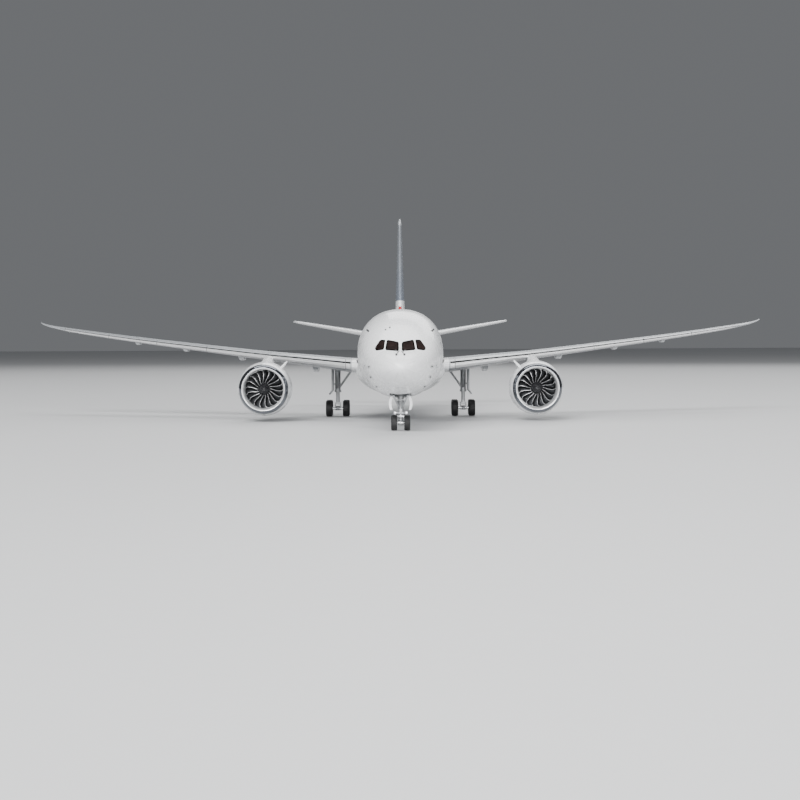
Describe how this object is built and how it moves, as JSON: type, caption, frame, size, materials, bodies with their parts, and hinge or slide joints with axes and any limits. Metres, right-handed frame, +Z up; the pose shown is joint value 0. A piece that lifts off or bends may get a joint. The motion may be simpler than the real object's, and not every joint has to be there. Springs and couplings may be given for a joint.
{
  "type": "desktop airliner model",
  "caption": "Scale display model of a wide-body twin-engine airliner standing on its landing gear, with spinning fans, a steering nose leg, tilting main bogies and rolling wheels.",
  "frame": {"origin": "on the ground, on the centreline, midway between the nose tip and the tail tip", "axes": "+Z up, +Y towards the tail so the nose points to -Y, +X towards the port (left) wing"},
  "size_m": [0.3006, 0.314, 0.0851],
  "materials": {
    "white_paint": "gloss",
    "wing_grey": "satin",
    "tail_plastic": "satin",
    "tailplane_plastic": "satin",
    "nacelle_paint": "gloss",
    "bright_metal": "polished",
    "exhaust_metal": "satin",
    "fan_metal": "satin",
    "pin_steel": "brushed",
    "gear_metal": "satin",
    "bay_grey": "matte",
    "hub_metal": "satin",
    "tyre": "matte",
    "lamp": "polished",
    "beacon_red": "gloss",
    "hidden_casting": "rough"
  },
  "bodies": {
    "airframe": {"fuselage_shell": "white_paint", "belly_fairing": "white_paint", "aerials": "white_paint", "port_nose_door": "white_paint", "starboard_nose_door": "white_paint", "port_leg_door": "white_paint", "starboard_leg_door": "white_paint", "port_wing": "wing_grey", "starboard_wing": "wing_grey", "port_flap_fairings": "wing_grey", "starboard_flap_fairings": "wing_grey", "fin": "tail_plastic", "port_tailplane": "tailplane_plastic", "starboard_tailplane": "tailplane_plastic", "port_fan_cowl": "nacelle_paint", "starboard_fan_cowl": "nacelle_paint", "port_pylon": "nacelle_paint", "starboard_pylon": "nacelle_paint", "port_intake_lip": "bright_metal", "starboard_intake_lip": "bright_metal", "port_engine_core": "exhaust_metal", "starboard_engine_core": "exhaust_metal", "port_exhaust_plug": "exhaust_metal", "starboard_exhaust_plug": "exhaust_metal", "port_fan_pin": "pin_steel", "starboard_fan_pin": "pin_steel", "belly_screws": "pin_steel", "port_bogie_pin": "pin_steel", "starboard_bogie_pin": "pin_steel", "nose_leg": "gear_metal", "nose_drag_brace": "gear_metal", "port_main_leg": "gear_metal", "starboard_main_leg": "gear_metal", "port_main_leg_stays": "gear_metal", "starboard_main_leg_stays": "gear_metal", "port_main_torque_links": "gear_metal", "starboard_main_torque_links": "gear_metal", "nose_gear_bay": "bay_grey", "nose_lamps": "lamp", "beacon_lenses": "beacon_red", "nose_ballast": "hidden_casting", "wing_box": "hidden_casting", "stand_socket": "pin_steel"},
    "nose_strut": {"nose_fork": "gear_metal", "nose_torque_links": "gear_metal"},
    "nose_wheel_pair": {"nose_wheels": "hub_metal", "nose_tyres": "tyre"},
    "port_fan_rotor": {"port_fan": "fan_metal"},
    "port_bogie": {"port_bogie_beam": "gear_metal"},
    "port_front_wheel_pair": {"port_front_wheels": "hub_metal", "port_front_tyres": "tyre"},
    "port_rear_wheel_pair": {"port_rear_wheels": "hub_metal", "port_rear_tyres": "tyre"},
    "starboard_fan_rotor": {"starboard_fan": "fan_metal"},
    "starboard_bogie": {"starboard_bogie_beam": "gear_metal"},
    "starboard_front_wheel_pair": {"starboard_front_wheels": "hub_metal", "starboard_front_tyres": "tyre"},
    "starboard_rear_wheel_pair": {"starboard_rear_wheels": "hub_metal", "starboard_rear_tyres": "tyre"}
  },
  "joints": [
    {"name": "nose_steer", "type": "hinge", "parent": "airframe", "child": "nose_strut", "pos_m": [0, -0.1295, 0.00254], "axis": [0, 0, 1], "range_deg": [-65, 65]},
    {"name": "nose_wheel_roll", "type": "hinge", "parent": "nose_strut", "child": "nose_wheel_pair", "pos_m": [0, -0.1295, 0.00254], "axis": [1, 0, 0], "continuous": true},
    {"name": "port_fan_spin", "type": "hinge", "parent": "airframe", "child": "port_fan_rotor", "pos_m": [0.04975, -0.0523, 0.012], "axis": [0, 1, 0], "continuous": true},
    {"name": "port_bogie_tilt", "type": "hinge", "parent": "airframe", "child": "port_bogie", "pos_m": [0.0245, -0.0005, 0.00317], "axis": [1, 0, 0], "range_deg": [-10, 10]},
    {"name": "port_front_wheel_roll", "type": "hinge", "parent": "port_bogie", "child": "port_front_wheel_pair", "pos_m": [0.0245, -0.00425, 0.00317], "axis": [1, 0, 0], "continuous": true},
    {"name": "port_rear_wheel_roll", "type": "hinge", "parent": "port_bogie", "child": "port_rear_wheel_pair", "pos_m": [0.0245, 0.00325, 0.00317], "axis": [1, 0, 0], "continuous": true},
    {"name": "starboard_fan_spin", "type": "hinge", "parent": "airframe", "child": "starboard_fan_rotor", "pos_m": [-0.04975, -0.0523, 0.012], "axis": [0, 1, 0], "continuous": true},
    {"name": "starboard_bogie_tilt", "type": "hinge", "parent": "airframe", "child": "starboard_bogie", "pos_m": [-0.0245, -0.0005, 0.00317], "axis": [1, 0, 0], "range_deg": [-10, 10]},
    {"name": "starboard_front_wheel_roll", "type": "hinge", "parent": "starboard_bogie", "child": "starboard_front_wheel_pair", "pos_m": [-0.0245, -0.00425, 0.00317], "axis": [1, 0, 0], "continuous": true},
    {"name": "starboard_rear_wheel_roll", "type": "hinge", "parent": "starboard_bogie", "child": "starboard_rear_wheel_pair", "pos_m": [-0.0245, 0.00325, 0.00317], "axis": [1, 0, 0], "continuous": true}
  ]
}
